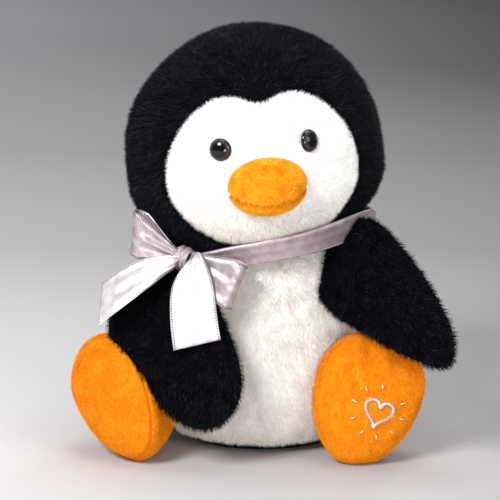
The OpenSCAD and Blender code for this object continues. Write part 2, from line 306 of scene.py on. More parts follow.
# A pile fabric: its backing cloth and that cloth's thickness, its tints, the blades' number per
# square millimetre, length and width, the angle that they make with the surface's normal, the
# size of a tuft, and how far the blades stray from the way they are brushed
Fabric = namedtuple("Fabric", "slot cloth cloth_t tints mix per_mm2 length width lie tuft swirl")
BLACK = ("black_plush", BLACK_CLOTH)
ORANGE = ("orange_velour", ORANGE_CLOTH, 0.8)
HOOD = Fabric(*BLACK, 1.0, BLACK_PILE, BLACK_MIX, 2.5, 3.4, 0.34, 38, 7.0, 1.6)
BACK = Fabric(*BLACK, 1.0, BLACK_PILE, BLACK_MIX, 2.6, 3.0, 0.36, 44, 7.0, 1.4)
BASE = Fabric(*BLACK, 0.5, BLACK_PILE, BLACK_MIX, 1.2, 2.4, 0.42, 60, 7.0, 1.0)
FLIPPER = Fabric(*BLACK, 0.9, BLACK_PILE, BLACK_MIX, 2.7, 3.3, 0.34, 42, 7.0, 1.4)
FACE = Fabric("white_plush", WHITE_CLOTH, 1.0, WHITE_PILE, FACE_MIX, 6.0, 1.9, 0.28, 50, 5.0, 1.0)
BELLY = Fabric("white_plush", BELLY_CLOTH, 1.0, BELLY_PILE, None, 5.0, 2.4, 0.32, 48, 8.0, 1.0)
BEAK = Fabric(*ORANGE, BEAK_PILE, BEAK_MIX, 9.0, 1.05, 0.2, 46, 9.0, 1.4)
FOOT = Fabric(*ORANGE, ORANGE_PILE, ORANGE_MIX, 8.0, 1.05, 0.21, 46, 9.0, 1.4)


def pile(skin, body, fabric, nap, seed, centre, keep, first_share):
    """Blades of pile on the side of a skin that looks away from centre, as one mesh. nap is the
    direction they are brushed in, keep picks the roots that stay, and first_share gives the
    share of the first tint at each root."""
    rng = np.random.default_rng(seed)
    mesh = skin.data
    mesh.calc_loop_triangles()
    points = points_of(skin)
    normals = np.empty(len(points) * 3)
    mesh.vertices.foreach_get("normal", normals)
    normals = normals.reshape(-1, 3)
    corners = np.empty(len(mesh.loop_triangles) * 3, dtype=np.int32)
    mesh.loop_triangles.foreach_get("vertices", corners)
    corners = corners.reshape(-1, 3)
    a, b, c = (points[corners[:, k]] for k in range(3))
    facing = np.cross(b - a, c - a)
    area = np.linalg.norm(facing, axis=1) / 2
    if (facing * ((a + b + c) / 3 - centre)).sum() < 0:
        normals = -normals
    count = int(area.sum() * fabric.per_mm2)
    chosen = rng.choice(len(area), count, p=area / area.sum())
    u, v = rng.random((2, count))
    fold = u + v > 1
    u[fold], v[fold] = 1 - u[fold], 1 - v[fold]
    share = np.stack([1 - u - v, u, v], 1)[:, :, None]
    root = (points[corners[chosen]] * share).sum(1)
    normal = unit((normals[corners[chosen]] * share).sum(1))
    if keep is not None:
        kept = keep(root)
        root, normal = root[kept], normal[kept]
        count = len(root)
    brushed = nap(root) if callable(nap) else np.broadcast_to(np.asarray(nap, float), root.shape)
    along = unit(brushed - (brushed * normal).sum(1, keepdims=True) * normal + 1e-5)
    across = np.cross(normal, along)
    tuft = fabric.tuft
    stray = np.radians(24 * waves(root, tuft, seed + 1) + rng.normal(0, 20, count))
    stray = fabric.swirl * stray[:, None]
    along, across = (along * np.cos(stray) + across * np.sin(stray),
                     across * np.cos(stray) - along * np.sin(stray))
    lie = fabric.lie + 9 * waves(root, tuft, seed + 2) + rng.normal(0, 9, count)
    angle = np.radians(np.clip(lie, 4, 84))
    reach = fabric.length * rng.uniform(0.7, 1.15, count)
    reach = reach * (1 + 0.12 * waves(root, tuft * 1.3, seed + 3))
    roll = np.radians(rng.normal(0, 28, count))[:, None]

    def heading(a):
        return normal * np.cos(a)[:, None] + along * np.sin(a)[:, None]

    outward = unit(np.cross(across, heading(angle)))
    side = (across * np.cos(roll) + outward * np.sin(roll)) * (
        fabric.width * rng.uniform(0.7, 1.2, count) / 2)[:, None]
    tip = root + heading(angle) * reach[:, None]
    vertices = np.stack([root - side, root + side, tip], 1)
    name = skin.name.replace("_skin", "_pile")
    pile_mesh = bpy.data.meshes.new(name)
    pile_mesh.vertices.add(count * 3)
    pile_mesh.vertices.foreach_set("co", (vertices * MM).ravel())
    pile_mesh.loops.add(count * 3)
    pile_mesh.loops.foreach_set("vertex_index", np.arange(count * 3, dtype=np.int32))
    pile_mesh.polygons.add(count)
    pile_mesh.polygons.foreach_set("loop_start", np.arange(0, count * 3, 3, dtype=np.int32))
    pick = rng.choice(len(fabric.tints), count, p=fabric.mix)
    if first_share is not None:
        pick = np.where(rng.random(count) < first_share(root), 0, pick)
    pile_mesh.polygons.foreach_set("material_index", pick.astype(np.int32))
    pile_mesh.update(calc_edges=True)
    dress(link(bpy.data.objects.new(name, pile_mesh)), body, fabric.tints)


def sew(skin, body, node, fabric, nap, seed, centre, keep=None, first_share=None):
    """Grows pile on a skin, and makes the skin the shell of cloth behind it."""
    pile(skin, body, fabric, nap, seed, centre, keep, first_share)
    dress(thicken(skin, fabric.cloth_t), body, fabric.cloth, [node])


def stuff(fill, body, node):
    """Makes a closed shape the fibre filling of a piece."""
    dress(fill, body, FILL_CLOTH, [node])


# ---------------------------------------------------------------- head

HEAD_TURNED = turn("Y", -HEAD_LEAN) @ turn("Z", HEAD_TURN)
HEAD_AT = place([[0, 0, HEAD_MID + 0.15]], turn("Y", -HEAD_LEAN), (0, 0, NECK_H))[0]


def from_head(points):
    """Points round the head's middle, placed in the penguin's frame."""
    return place(points, HEAD_TURNED, HEAD_AT)


def to_head(points):
    """Points of the penguin's frame, as seen from the head's middle."""
    return (points - HEAD_AT) @ HEAD_TURNED


# Where the head's outline is fuller or flatter than its plain dome: a direction, and how far
OUTLINE_NUDGES = (((0.70, -0.1, 0.70), 2.6), ((-0.57, -0.1, 0.82), -2.4))


def head_reach(d):
    """Distance from the head's middle to its surface along unit vectors d."""
    rho, z = np.hypot(d[:, 0], d[:, 1]), d[:, 2]
    crown = ((rho / HEAD_R) ** 2 + (z / CROWN_H) ** 2) ** -0.5
    cheeks = ((rho / HEAD_R) ** CHEEK_N + (np.abs(z) / CHEEK_B) ** CHEEK_N) ** (-1 / CHEEK_N)
    slim = np.where(d[:, 0] > 0, 0.10, 0.06)
    cheeks = cheeks * (1 - slim * np.clip((-z - 0.2) / 0.35, 0, 1) ** 1.3
                       * np.clip((np.abs(d[:, 0]) - 0.35) / 0.4, 0, 1))
    for way, push in OUTLINE_NUDGES:
        nudge = push * near(d, unit(way), 0.42)
        crown, cheeks = crown + nudge, cheeks + nudge
    neck = np.where(z < 0, (HEAD_MID - 1.5) / np.maximum(-z, 1e-6), 1e6)
    return np.minimum(np.where(z > 0, crown, cheeks), neck)


def head_ray(theta, phi):
    """Unit vectors at angle phi from straight ahead, theta clockwise from the top."""
    return np.stack([np.sin(phi) * np.sin(theta), -np.cos(phi), np.sin(phi) * np.cos(theta)], -1)


def face_edge(theta):
    """Angle from straight ahead to the seam of the white face, for each theta."""
    t = np.radians(np.arange(-180, 180, 0.5))
    reach = (45.7 + 3.4 * np.cos(t) - 3.4 * np.cos(2 * t) + 1.6 * np.cos(3 * t)
             - 12 * np.exp(-(np.degrees(t) / 19) ** 2)
             - 2.0 * np.exp(-((np.abs(np.degrees(t)) - 28) / 20) ** 2))
    x, z = reach * np.sin(t), reach * np.cos(t) - 4
    across = HEAD_R * np.where(z > 0, np.sqrt(1 - (z / CROWN_H) ** 2),
                               (1 - (np.abs(z) / CHEEK_B) ** CHEEK_N) ** (1 / CHEEK_N))
    seam = unit(np.stack([x, -np.sqrt(across ** 2 - x ** 2), z], -1))
    turned = np.arctan2(seam[:, 0], seam[:, 2])
    order = np.argsort(turned)
    return np.interp(theta, turned[order], np.arccos(-seam[order, 1]), period=2 * math.pi)


# The eyes sit a little to the left and above the middle. Pile covers the eyes' rims, so a little
# less of them shows than the CAD's size. Each looks its own number of degrees further outwards.
EYE_SHIFT, EYE_RAISED, EYE_SHOWN = 0.7, 8.6, 0.94
EYE_AIM = {1: 22, -1: -3}


def aim_from_head(turn_deg, up_deg):
    """Unit vector from the head's middle, turned to the penguin's left and raised."""
    a, b = math.radians(turn_deg), math.radians(up_deg)
    return np.array([math.sin(a) * math.cos(b), -math.cos(a) * math.cos(b), math.sin(b)])


def eye_spot(side):
    """Where an eye sits: unit vector from the head's middle."""
    return aim_from_head(EYE_TURN * side + EYE_SHIFT, EYE_RAISED)


def head_skin(theta, phi, inset, edge):
    """Points of the head's cloth, with the seam pulled in and dents round the eyes."""
    d = head_ray(theta, phi)
    reach = head_reach(d)
    from_seam = (phi - edge) * reach
    surface = d * reach[:, None]
    dents = sum(near(surface, eye_spot(s) * HEAD_R, 8.5) for s in (-1, 1))
    muzzle = near(surface, [0, -HEAD_R, BEAK_UP - 6], 24)
    flat_side = near(surface, [48, 0, 42], 42)
    reach = (reach - inset - 1.0 * np.exp(-(from_seam / 2.0) ** 2) - 1.6 * dents + 1.6 * muzzle
             - 3.0 * flat_side + 0.5 * waves(surface, 30, 3))
    return d * reach[:, None]


def head_patch(name, rings, low, high, inset, columns=180):
    """A patch of the head between two shares of the way from the face's middle to its seam
    (0 to 1) and on to the back of the head (1 to 2)."""
    theta = np.linspace(0, 2 * math.pi, columns, endpoint=False)
    edge = face_edge(theta)
    rows = []
    for share in np.linspace(low, high, rings):
        phi = edge * share if share <= 1 else edge + (math.pi - edge) * (share - 1)
        rows.append(head_skin(theta, np.maximum(phi, 0.002), inset, edge))
    return mesh_object(name, from_head(np.concatenate(rows)), grid_faces(rings, columns, True))


def head_nap(roots):
    """The head's pile is brushed back and down, but over the edge of the white face."""
    local = to_head(roots)
    phi = np.arccos(np.clip(-unit(local)[:, 1], -1, 1))
    theta = np.arctan2(local[:, 0], local[:, 2])
    from_seam = (phi - face_edge(theta)) * HEAD_R
    back = np.stack([local[:, 0] * 0.5, 0.6 * np.abs(local[:, 1]) + 10, -30 - 0 * local[:, 2]], -1)
    inward = np.stack([-local[:, 0], 0 * phi, -local[:, 2] - 12], -1)
    over = np.exp(-(from_seam / 4.5) ** 2)[:, None]
    return (unit(back) * (1 - over) + unit(inward) * over) @ HEAD_TURNED.T


def face_nap(roots):
    """The face's pile lies outwards from the beak."""
    local = to_head(roots)
    out = local - [0, -HEAD_R, BEAK_UP]
    return np.stack([out[:, 0], 0 * out[:, 1], out[:, 2] - 8], -1) @ HEAD_TURNED.T


FACE_LOW = HEAD_AT[2] - 14.0  # below this height the face's pile turns creamy and darker: a warmer tint with painted shade


def make_head():
    hood = head_patch("hood_skin", 84, 1.0, 2.0, HOOD_INSET)
    face = head_patch("face_skin", 44, 0.0, 1.0, WHITE_INSET)
    fill = head_patch("head_fill", 60, 0.0, 2.0, 7.0, columns=72)

    def above_neck(root):
        return to_head(root)[:, 2] > -HEAD_MID + 2.2

    def clear_of_eyes(root):
        local = to_head(root)
        away = [np.linalg.norm(unit(local) - eye_spot(s), axis=1) * HEAD_R for s in (-1, 1)]
        beak = np.hypot(local[:, 0] / (BEAK_W / 2), (local[:, 2] - BEAK_UP) / (BEAK_H / 2))
        return (np.minimum(*away) > EYE_R - 1.2) & (beak > 0.86)

    # Share of the creamy first tint, growing downwards: a warmer tint with painted shade.
    def cream_and_shade_below(root):
        return 0.95 * np.clip((FACE_LOW - root[:, 2]) / 24, 0, 1)

    sew(hood, "head", "hood", HOOD, head_nap, 21, HEAD_AT, above_neck)
    sew(face, "head", "face_panel", FACE, face_nap, 22, HEAD_AT, clear_of_eyes, cream_and_shade_below)
    stuff(fill, "head", "head_stuffing")


def lathe(name, profile, columns, uv_name):
    """A surface turned about +Z from (radius, height) points, with a radius-wise UV map."""
    profile = np.asarray(profile, float)
    angle = np.linspace(0, 2 * math.pi, columns, endpoint=False)
    rows = [np.stack([r * np.cos(angle), r * np.sin(angle), np.full(columns, z)], -1)
            for r, z in profile]
    obj = mesh_object(name, np.concatenate(rows), grid_faces(len(rows), columns, True))
    layer = obj.data.uv_layers.new(name=uv_name)
    widest = profile[:, 0].max()
    radius = np.hypot(*points_of(obj)[:, :2].T) / widest
    for loop in obj.data.loops:
        layer.data[loop.index].uv = (radius[loop.vertex_index], 0)
    return obj


def make_eye(name, side):
    """A domed button eye with its shank. side is 1 for the left eye and -1 for the right."""
    rise = [(EYE_R * math.sin(t), 3.4 * math.cos(t)) for t in np.radians(np.arange(1, 91, 6))]
    shank = [(EYE_R - 0.5, -0.5), (2.0, -0.6), (1.9, -12.5), (0.01, -12.8)]
    eye = lathe(name, rise + [(EYE_R, -0.2)] + shank, 64, "dish")
    ahead = aim_from_head(EYE_TURN * side + EYE_AIM[side], 5)
    right = unit(np.cross(UP, ahead))
    frame_of_eye = np.stack([right, np.cross(ahead, right), ahead], 1)
    seat = eye_spot(side) * (HEAD_R - 2.4)
    reshape(eye, lambda points: from_head(place(points * EYE_SHOWN, frame_of_eye, seat)))
    dress(eye, "head", EYE, ["eye_left" if side > 0 else "eye_right"])


def beak_point(azimuth, height, grow, jaw):
    """Surface of the beak for an angle round its upright axis (0 is straight ahead) and a
    height from -1 to 1. jaw scales how far it stands out."""
    level = np.sqrt(np.maximum(1 - np.abs(height) ** 2.3, 0))
    x = (BEAK_W / 2 + grow) * level * np.sin(azimuth) * (1 - 0.04 * height)
    out = (BEAK_OUT + grow) * jaw * level ** 0.85 * np.cos(azimuth)
    z = (BEAK_H / 2 + grow) * height
    z = z - 2.2 * np.clip(out / BEAK_OUT, 0, 1) ** 1.5
    y = -HEAD_R + 3.0 - out + 0.012 * x ** 2
    return np.stack([x, y, z + BEAK_UP], -1)


def mouth_height(azimuth):
    """The mouth's seam is lowest in the middle and rises to its corners."""
    return -0.42 + 0.30 * (1 - np.cos(azimuth))


def beak_patch(name, part, grow, rows=26, columns=64):
    """The upper or lower half of the beak, tucked in along the mouth, or all of it."""
    azimuth = np.radians(np.linspace(-112, 112, columns))
    mouth = mouth_height(azimuth)
    low, high = (mouth, 1.0) if part == "upper" else (-1.0, mouth) if part == "lower" else (-1.0, 1.0)
    rings = []
    for k in range(rows):
        share = k / (rows - 1)
        height = low + (high - low) * (0.5 - 0.5 * math.cos(math.pi * share)) + 0 * mouth
        jaw = np.where(height < mouth, 0.97 + 0.16 * np.minimum(height - mouth, 0), 1.0)
        tuck = 1.3 * np.exp(-((height - mouth) * BEAK_H / 2 / 1.2) ** 2)
        rings.append(beak_point(azimuth, height, grow - tuck, jaw))
    return mesh_object(name, from_head(np.concatenate(rings)), grid_faces(rows, columns, False))


def make_beak():
    middle = from_head([[0, -HEAD_R, BEAK_UP]])[0]
    upper = beak_patch("beak_upper_skin", "upper", -VELOUR_INSET)
    lower = beak_patch("beak_lower_skin", "lower", -VELOUR_INSET)
    azimuth = np.radians(np.linspace(-100, 100, 161))
    seam = from_head(beak_point(azimuth, mouth_height(azimuth), 0, 1.0))

    def painted_seam_shade(root):
        """The pile is painted dark with shade in the seam where the two halves of the beak are sewn
        together.
        """
        far = np.linalg.norm(root[:, None] - seam[None], axis=2).min(1)
        return 0.9 * np.exp(-(far / 2.0) ** 4)

    for skin, node, seed in ((upper, "beak_upper", 31), (lower, "beak_lower", 32)):
        sew(skin, "head", node, BEAK, HEAD_TURNED @ [0, 0.4, -1], seed, middle, first_share=painted_seam_shade)
    stuff(beak_patch("beak_fill", "all", -3.4, rows=16, columns=28), "head", "beak_stuffing")


# ---------------------------------------------------------------- body

def body_radius(z):
    """Radius of the body at each height."""
    z = np.asarray(z, float)
    low = np.clip((BODY_MID - z) / BODY_LOW[0], 0, 0.999)
    top = np.clip((z - BODY_MID) / BODY_TOP[0], 0, 0.999)
    return BODY_R * np.where(z < BODY_MID, (1 - low ** BODY_LOW[1]) ** (1 / BODY_LOW[1]),
                             (1 - top ** BODY_TOP[1]) ** (1 / BODY_TOP[1]))


def panel_edge(z):
    """Angle from the front to the side seam of the belly panel, at each height."""
    across = BELLY_HALF_W * np.cos(np.radians((z - 48) * np.where(z < 48, 0.9, 0.6)))
    return np.arcsin(np.clip(across / body_radius(z), 0, 0.985))


def body_patch(name, rows, columns, belly, inset):
    """The belly panel, or the back panel that goes round from one side seam to the other."""
    share = np.linspace(-1, 1, columns)
    rings = []
    for s in np.linspace(0, 1, rows):
        z = np.full(columns, BASE_T + (NECK_H - 1.5 - BASE_T) * s)
        for _ in range(3):
            edge = panel_edge(z)
            angle = edge * share if belly else math.pi + (math.pi - edge) * share
            x = body_radius(z) * np.sin(angle)
            z = BASE_T + (NECK_H - 1.5 + x * math.tan(math.radians(HEAD_LEAN)) - BASE_T) * s
        from_seam = (1 - np.abs(share)) * (edge if belly else math.pi - edge) * body_radius(z)
        flat = np.stack([np.sin(angle), -np.cos(angle)], -1)
        radius = body_radius(z) - inset - 1.1 * np.exp(-(from_seam / 2.2) ** 2)
        there = np.column_stack([flat * radius[:, None], z])
        above_base = s * (NECK_H - BASE_T)
        radius = radius + 0.3 + 0.5 * waves(there, 34, 5) - 1.2 * math.exp(-(above_base / 2.0) ** 2)
        rings.append(np.column_stack([flat * radius[:, None], z]))
    return mesh_object(name, np.concatenate(rings), grid_faces(rows, columns, False))


def base_patch(inset, rings=14, columns=120):
    """The flat base and the low rim that joins the side panels."""
    angle = np.linspace(0, 2 * math.pi, columns, endpoint=False)
    rows = [(BASE_R * share, 0.6) for share in np.linspace(0.01, 1, rings)]
    rows += [(body_radius(z) - inset - 0.6, z) for z in (1.6, 3.0, BASE_T)]
    points = [np.stack([r * np.sin(angle), -r * np.cos(angle), np.full(columns, z)], -1)
              for r, z in rows]
    return mesh_object("base_skin", np.concatenate(points), grid_faces(len(rows), columns, True))


def make_body():
    middle = np.array([0, 0, 50.0])
    belly = body_patch("belly_skin", 70, 90, True, WHITE_INSET)
    back = body_patch("back_skin", 70, 130, False, HOOD_INSET)
    base = base_patch(HOOD_INSET)
    sew(belly, "torso", "belly_panel", BELLY, DOWN, 41, middle)
    sew(back, "torso", "back_panel", BACK, DOWN, 42, middle)
    sew(base, "torso", "base_panel", BASE, lambda roots: roots * [1, 1, 0] + DOWN, 43, middle,
        lambda root: root[:, 2] > 1.2)


# ---------------------------------------------------------------- flippers and feet

def closed_skin(name, first, rows, last):
    """A closed skin from one point through rings of points to another."""
    columns = len(rows[0])
    points = np.concatenate([[first]] + rows + [[last]])
    faces = [(0, 1 + (c + 1) % columns, 1 + c) for c in range(columns)]
    faces += grid_faces(len(rows), columns, True, 1)
    end = 1 + (len(rows) - 1) * columns
    faces += [(len(points) - 1, end + c, end + (c + 1) % columns) for c in range(columns)]
    return mesh_object(name, points, faces)


def sewn_pad(name, outline, front_depth, back_depth, centre, rings=16):
    """A closed pad: two dished discs that meet at a seam. Returns the object and the number
    of faces of its front disc. The pad lies in its own XZ plane and its front looks along -Y."""
    shares = np.sin(np.linspace(0, math.pi / 2, rings + 1))[1:]
    rows = []
    for depth in (-front_depth, back_depth):
        for s in shares if depth < 0 else shares[:-1][::-1]:
            flat = centre + (outline - centre) * s
            bulge = np.full(len(outline), depth * (1 - s ** 2.4) ** 0.55)
            rows.append(np.column_stack([flat[:, 0], bulge, flat[:, 1]]))
    ends = [[centre[0], depth, centre[1]] for depth in (-front_depth, back_depth)]
    return closed_skin(name, ends[0], rows, ends[1]), rings * len(outline)


def inflate(obj, pressure, cap, pinned=()):
    """Fills a sewn skin by cloth simulation. No point moves more than cap millimetres."""
    before = points_of(obj)
    group = obj.vertex_groups.new(name="pinned")
    group.add([int(i) for i in pinned], 1.0, "REPLACE")
    modifier = obj.modifiers.new("fill", "CLOTH")
    configure(modifier.settings, quality=6, mass=0.15, tension_stiffness=12,
              compression_stiffness=12, shear_stiffness=6, bending_stiffness=0.4,
              use_pressure=True, uniform_pressure_force=pressure, vertex_group_mass="pinned")
    modifier.settings.effector_weights.gravity = 0
    modifier.collision_settings.use_collision = False
    scene = bpy.context.scene
    for step in range(1, 21):
        scene.frame_set(step)
    moved = obj.evaluated_get(bpy.context.evaluated_depsgraph_get()).to_mesh()
    after = np.array([v.co[:] for v in moved.vertices]) / MM
    obj.modifiers.remove(modifier)
    scene.frame_set(1)
    shift = after - before
    far = np.linalg.norm(shift, axis=1, keepdims=True)
    shift = np.where(np.isfinite(shift), shift, 0) * np.minimum(1, cap / np.maximum(far, 1e-6))
    reshape(obj, lambda points: before + shift)


def split(obj, first_faces, names):
    """Two new objects from a mesh: its first faces, and the rest."""
    points = points_of(obj)
    faces = [tuple(p.vertices) for p in obj.data.polygons]
    parts = []
    for name, chosen in zip(names, (faces[:first_faces], faces[first_faces:])):
        used = sorted({i for f in chosen for i in f})
        renumber = {old: new for new, old in enumerate(used)}
        kept = [tuple(renumber[i] for i in f) for f in chosen]
        parts.append(mesh_object(name, points[used], kept))
    return parts


def shrunken(obj, name, depth):
    """A copy of a closed mesh with each point moved inwards: the stuffing."""
    normals = np.array([v.normal[:] for v in obj.data.vertices])
    points = points_of(obj)
    if ((points - points.mean(0)) * normals).sum() < 0:
        normals = -normals
    return mesh_object(name, points - normals * depth, [tuple(p.vertices) for p in obj.data.polygons])


# Where each flipper hangs, how it is turned about X, Y and Z, and how much it curls
FLIPPERS = {
    "left": dict(at=(46, -47, 102), turns=(-34, -46, 0), curl=0.10,
                 outline=[(13, 14.5), (20, 3), (20.5, -18), (17.5, -42), (11, -64), (1, -75), (-7, -72),
                          (-15, -55), (-21, -36), (-27, -15), (-25.5, 0), (-13, 11), (1, 16.5)]),
    "right": dict(at=(-44, -54, 82), turns=(-20, -16, -14), curl=0.12,
                  outline=[(9, 17), (17, 4), (24, -16), (28, -38), (26, -54), (16, -65), (2, -67),
                           (-12, -57), (-24, -38), (-34, -20), (-36, -4), (-26, 10), (-8, 18)]),
}


def make_flipper(side):
    spec = FLIPPERS[side]
    outline = smooth_loop(spec["outline"], 96)
    centre = outline.mean(0)
    body = f"flipper_{side}"
    pad, front = sewn_pad(body, outline, FLIPPER_T / 2 - 2, FLIPPER_T / 2 - 3, centre)
    inflate(pad, 3.0, 2.5)
    about_x, about_y, about_z = spec["turns"]
    rotation = turn("Z", about_z) @ turn("Y", about_y) @ turn("X", about_x)

    def curved(points):
        """Bends the paddle a little about its width, then hangs it from the shoulder."""
        bent = points.copy()
        bent[:, 1] += spec["curl"] * 0.02 * (points[:, 2] + 28) ** 2 - 2.0
        return place(bent, rotation, spec["at"])

    reshape(pad, curved)
    middle = points_of(pad).mean(0)
    halves = split(pad, front, (f"{body}_outer_skin", f"{body}_inner_skin"))
    for skin, half, seed in zip(halves, ("outer", "inner"), (51, 53)):
        sew(skin, body, f"{body}_{half}", FLIPPER, rotation @ DOWN, seed + (side == "left"), middle)
    fill = shrunken(pad, f"{body}_fill", FILL_DEPTH)
    bpy.data.objects.remove(pad)
    stuff(fill, body, f"{body}_stuffing")


# Where each foot stands round the body, how it is turned, how far it reaches from its ankle, how
# broad it is, and how deep a fold runs inside the toe's rim
FEET = {
    "left": dict(angle=46, yaw=5, reach=14, splay=20, tilt=12, girth=0.97, crease=0.0),
    "right": dict(angle=-56, yaw=-45, reach=22, splay=-46, tilt=3, girth=0.93, crease=2.6),
}
# Gathers in the left sole: their places across and up, their depth and their width
GATHERS = (((54, 57), 4.0, 5.0), ((69, 53), 3.2, 4.2), ((46, 38), 1.2, 9.0))


def foot_mesh(name, spec, lift):
    """Sole, instep and ankle as one closed skin round the ankle's middle, the number of the
    sole's faces and the points on its rim."""
    reach, tilt, splay = spec["reach"], spec["tilt"], spec["splay"]
    t = np.linspace(0, 2 * math.pi, 96, endpoint=False)
    power = 2 / 2.15
    outline = np.column_stack([(SOLE_W / 2 - 1) * np.sign(np.sin(t)) * np.abs(np.sin(t)) ** power,
                               (SOLE_LEN / 2 - 1) * np.sign(np.cos(t)) * np.abs(np.cos(t)) ** power])
    outline[:, 0] *= spec["girth"] + 0.17 * np.cos(t)
    toe = np.exp(-(((t + math.pi) % (2 * math.pi) - math.pi) / 0.75) ** 2)
    columns = len(outline)
    stand = turn("X", -tilt) @ turn("Y", splay)
    rows = []
    for s in np.sin(np.linspace(0, math.pi / 2, 25))[1:]:
        flat = outline * s * (1 - 0.03 * math.exp(-((1 - s) / 0.012) ** 2))
        bulge = -(SOLE_T / 2 - 1) * (1 - s ** 2.2) ** 0.6
        fold = spec["crease"] * toe * math.exp(-((s - 0.78) / 0.06) ** 2)
        ring = np.column_stack([flat[:, 0], bulge + fold, flat[:, 1]])
        rows.append(place(ring, stand, (0, -reach, lift)))
    rim = len(rows)
    back = reach + ANKLE_R - 1
    for q in np.concatenate([[0.03, 0.06, 0.1], np.linspace(0.15, 1, 13)]):
        scale = 0.40 + 0.60 * math.sqrt(max(0, 1 - q ** 2)) + 0.05 * math.sin(math.pi * q)
        scale += 0.035 * math.exp(-((q - 0.14) / 0.09) ** 2)
        flat = outline * scale
        upright = turn("X", -tilt * (1 - q)) @ turn("Y", splay * (1 - q))
        ring = np.column_stack([flat[:, 0], np.zeros(columns), flat[:, 1] * (1 - 0.25 * q)])
        rows.append(place(ring, upright, (0, -reach + back * q, lift * (1 - q))))
    toe_middle = place([[0, -(SOLE_T / 2 - 1), 0]], stand, (0, -reach, lift))[0]
    foot = closed_skin(name, toe_middle, rows, rows[-1].mean(0) + [0, 2.5, 0])
    return foot, rim * columns, range(1 + (rim - 1) * columns, 1 + rim * columns)


def make_foot(side):
    spec = FEET[side]
    body = f"foot_{side}"
    splay, tilt = math.radians(spec["splay"]), math.radians(spec["tilt"])
    lift = math.cos(tilt) * math.hypot(SOLE_W / 2 * math.sin(splay), SOLE_LEN / 2 * math.cos(splay))
    lift = math.hypot(lift, SOLE_T / 2 * math.sin(tilt)) - ANKLE_Z
    foot, sole_faces, rim = foot_mesh(body, spec, lift)
    inflate(foot, 2.5, 2.0, rim)
    from_axis = body_radius(ANKLE_Z) + ANKLE_R + 0.3
    a = math.radians(spec["angle"])
    at = (from_axis * math.sin(a), -from_axis * math.cos(a), ANKLE_Z)
    yaw = turn("Z", spec["yaw"])

    def stand(points):
        """Puts the foot in its place, presses it flat on the ground and gathers its cloth."""
        placed = place(points, yaw, at)
        z = placed[:, 2]
        placed[:, 2] = np.where(z < 1.0, 1.0 + (z - 1.0) * 0.25, z)
        placed[:, 2] += 0.5 * waves(placed, 26, 8) * (placed[:, 2] > 8)
        for spot, deep, wide in GATHERS if side == "left" else ():
            front = placed[:, 1] < placed[:, 1].min() + 22
            placed[:, 1] += deep * near(placed[:, [0, 2]], spot, wide) * front
        return placed

    reshape(foot, stand)
    middle = points_of(foot).mean(0)
    halves = split(foot, sole_faces, (f"{body}_sole_skin", f"{body}_top_skin"))
    for skin, half, seed in zip(halves, ("sole", "top"), (61, 63)):
        sew(skin, body, f"{body}_{half}", FOOT, DOWN, seed + (side == "left"), middle,
            lambda root: root[:, 2] > 0.6)
    fill = shrunken(foot, f"{body}_fill", FILL_DEPTH)
    bpy.data.objects.remove(foot)
    stuff(fill, body, f"{body}_stuffing")
    if side == "left":
        upright = turn("X", -spec["tilt"]) @ turn("Y", spec["splay"])

        def on_sole(points):
            return place(place(points, upright, (0, -spec["reach"], lift)), yaw, at)

        make_motif(halves[0], body, on_sole, yaw)


def make_motif(sole, body, on_sole, yaw):
    """A satin-stitched heart and a few loose running stitches on the left sole."""
    surface = BVHTree.FromPolygons(points_of(sole).tolist(),
                                   [tuple(p.vertices) for p in sole.data.polygons])
    t = np.linspace(0, 2 * math.pi, 96, endpoint=False)
    upright = 13 * np.cos(t) - 5 * np.cos(2 * t) - 2 * np.cos(3 * t) - np.cos(4 * t)
    heart = np.column_stack([16 * np.sin(t) ** 3, upright]) * 0.46
    step = np.roll(heart, -1, 0) - np.roll(heart, 1, 0)
    normal = unit(np.column_stack([-step[:, 1], step[:, 0]]))
    stitches = [(p - n * 1.15, p + n * 1.15, 0.42) for p, n in zip(heart, normal)]
    for angle in np.radians(np.arange(100, 400, 37)):
        ray = np.array([math.cos(angle), math.sin(angle)])
        stitches.append((ray * 11.5, ray * 14.5, 0.7))
    shift = np.array([7.0, -7.0])
    points, faces = [], []
    toward = yaw @ [0, -1.0, 0]
    for start, stop, thick in stitches:
        ends = []
        for flat in (start + shift, stop + shift):
            aim = on_sole([[flat[0], -SOLE_T, flat[1]]])[0]
            hit = surface.ray_cast(Vector(aim + toward * 20), Vector(-toward))
            ends.append(np.array(hit[0]) if hit[0] else aim)
        along = unit(ends[1] - ends[0])
        side = unit(np.cross(along, toward)) * thick / 2
        base = len(points)
        for share, lift, wide in ((0, 0.2, 0.4), (0.25, 1.15, 1), (0.75, 1.15, 1), (1, 0.2, 0.4)):
            spot = ends[0] + (ends[1] - ends[0]) * share + toward * lift
            points += [spot - side * wide, spot + toward * 0.35 * wide, spot + side * wide]
        for k in range(3):
            for j in range(2):
                q = base + 3 * k + j
                faces.append((q, q + 1, q + 4, q + 3))
    motif = mesh_object("heart_stitching", points, faces)
    dress(thicken(motif, 0.3), body, THREAD, ["foot_left_motif"])


# ---------------------------------------------------------------- ribbon

